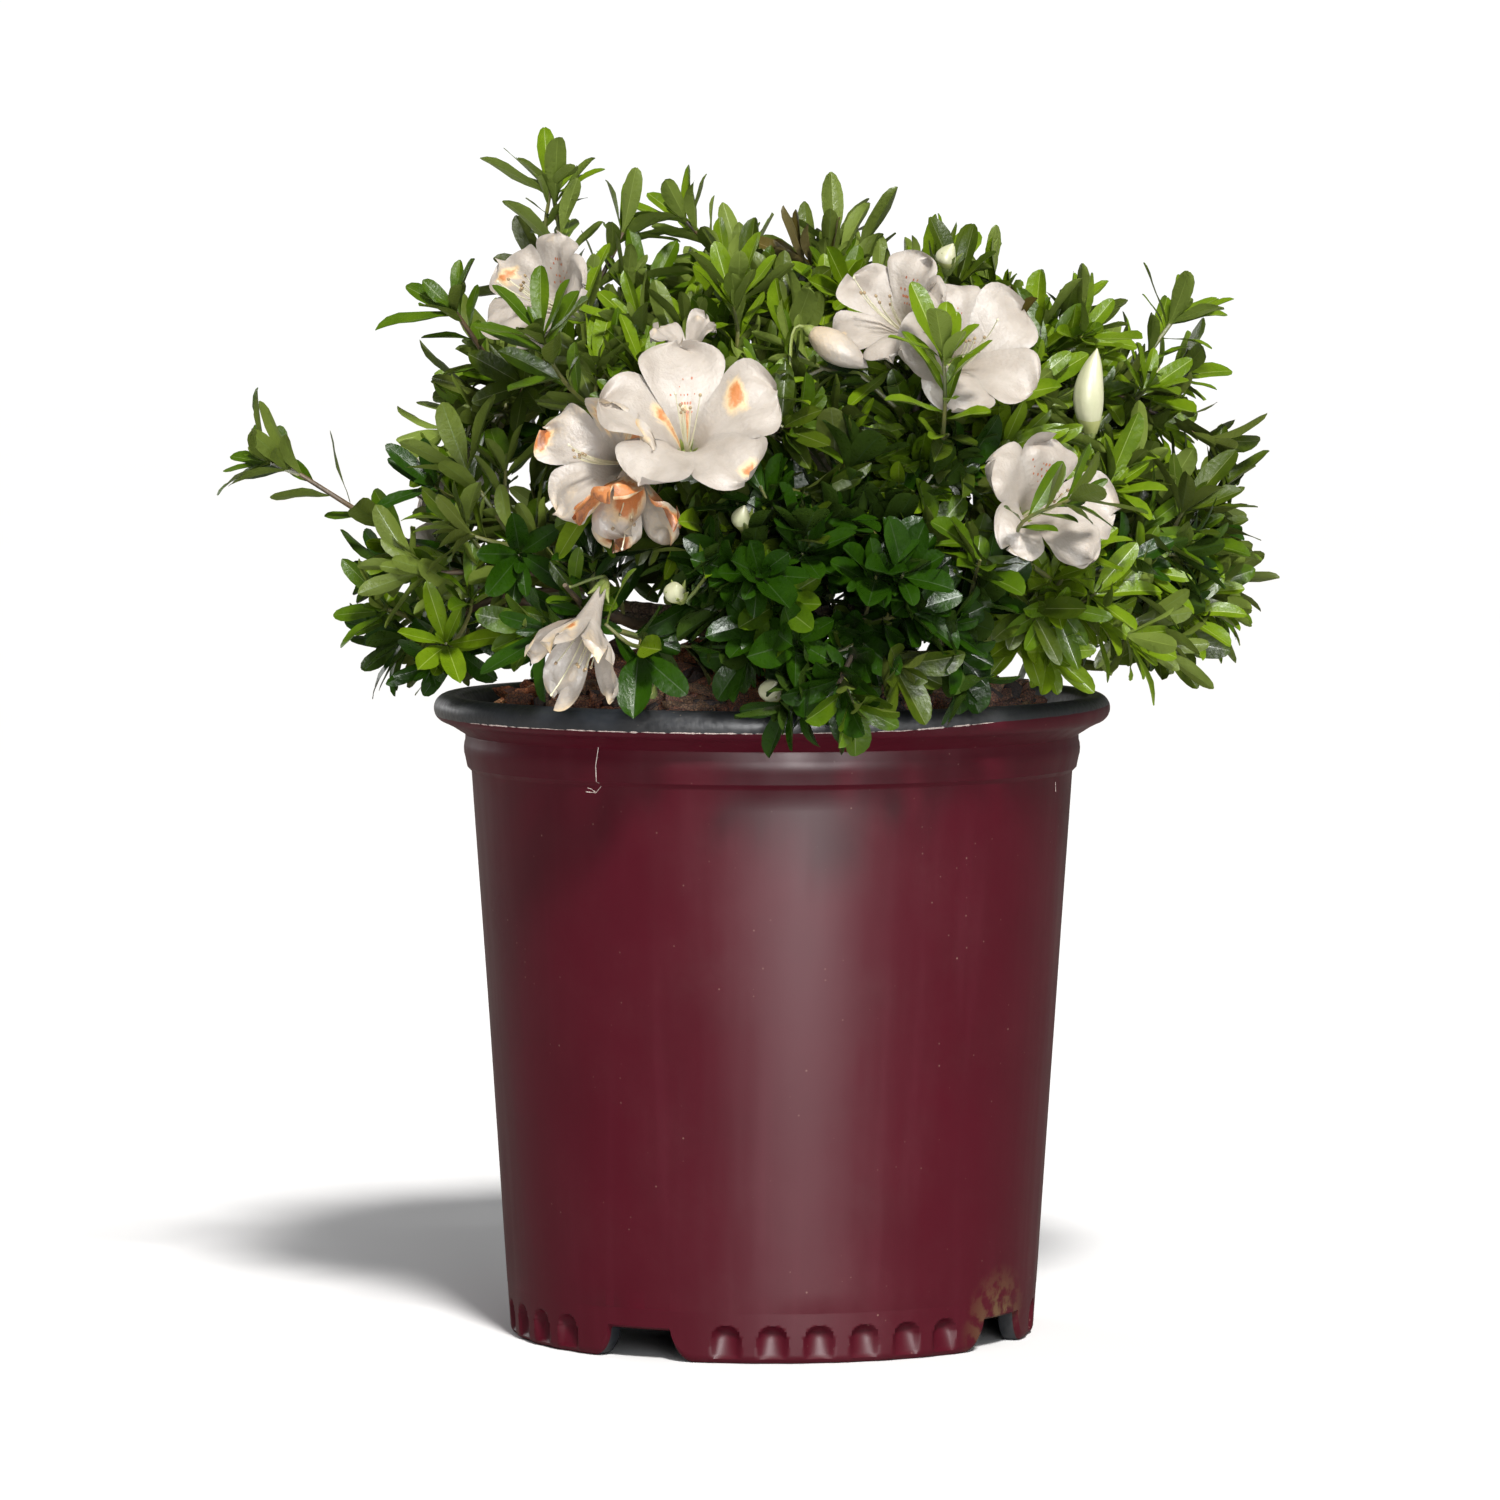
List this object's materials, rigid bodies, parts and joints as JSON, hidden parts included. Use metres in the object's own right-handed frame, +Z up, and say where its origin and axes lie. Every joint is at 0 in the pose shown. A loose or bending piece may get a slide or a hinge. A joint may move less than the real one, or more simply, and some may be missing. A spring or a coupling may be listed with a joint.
{
  "type": "potted azalea shrub",
  "caption": "Low spreading evergreen azalea with large white funnel blooms, growing in bark in a round burgundy nursery pot with a dark rolled rim.",
  "frame": {"origin": "centre of the pot's flat underside, on the pot's axis", "axes": "+Z up along the pot's axis, -Y towards the front of the plant, +X to the right seen from the front"},
  "size_m": [0.3734, 0.3329, 0.4225],
  "materials": {
    "pot_plastic": "satin burgundy polypropylene, with a charcoal rolled rim",
    "bark_chips": "damp composted pine bark chips",
    "bark": "thin grey-brown bark",
    "leaves": "leathery green leaves and white petals"
  },
  "bodies": {
    "root": {"pot": "pot_plastic", "soil": "bark_chips", "trunk": "bark", "bough_low_front": "bark", "bough_low_front_right": "bark", "bough_low_right": "bark", "bough_low_back_right": "bark", "bough_low_back": "bark", "bough_low_back_left": "bark", "bough_low_left": "bark", "bough_low_front_left": "bark", "bough_high_front_left": "bark", "bough_high_front_right": "bark", "bough_high_right": "bark", "bough_high_back_right": "bark", "bough_high_back_left": "bark", "bough_high_left": "bark", "bough_top": "bark", "foliage_low_front": "leaves", "foliage_low_front_right": "leaves", "foliage_low_right": "leaves", "foliage_low_back_right": "leaves", "foliage_low_back": "leaves", "foliage_low_back_left": "leaves", "foliage_low_left": "leaves", "foliage_low_front_left": "leaves", "foliage_high_front_left": "leaves", "foliage_high_front_right": "leaves", "foliage_high_right": "leaves", "foliage_high_back_right": "leaves", "foliage_high_back_left": "leaves", "foliage_high_left": "leaves", "foliage_top": "leaves"}
  },
  "joints": []
}
